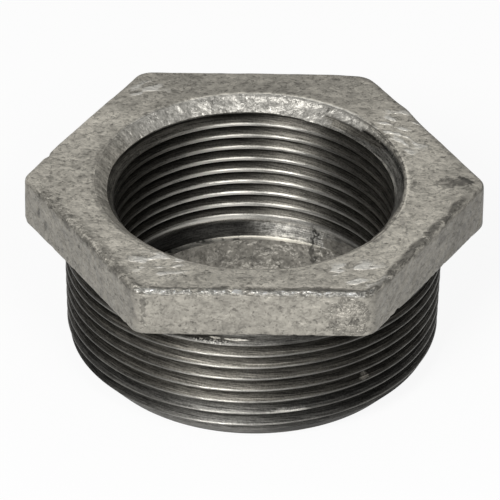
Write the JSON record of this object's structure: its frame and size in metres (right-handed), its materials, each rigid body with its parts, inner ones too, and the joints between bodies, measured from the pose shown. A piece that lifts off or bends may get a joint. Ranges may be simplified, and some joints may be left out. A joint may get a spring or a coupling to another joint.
{
  "type": "hex bushing",
  "caption": "Galvanised hexagon head pipe bushing, tapered outside thread on the shank and a smaller inside thread through the head.",
  "frame": {"origin": "centre of the end face of the outside thread, the face the bushing stands on", "axes": "+Z along the bore, up through the hexagon head; two corners of the hexagon lie on X and two flats face -Y and +Y"},
  "size_m": [0.0728, 0.064, 0.031],
  "materials": {
    "galvanised_iron": "hot-dip galvanised casting, dull grey, with bare machined threads"
  },
  "bodies": {
    "root": {"hex_bushing": "galvanised_iron"}
  },
  "joints": []
}
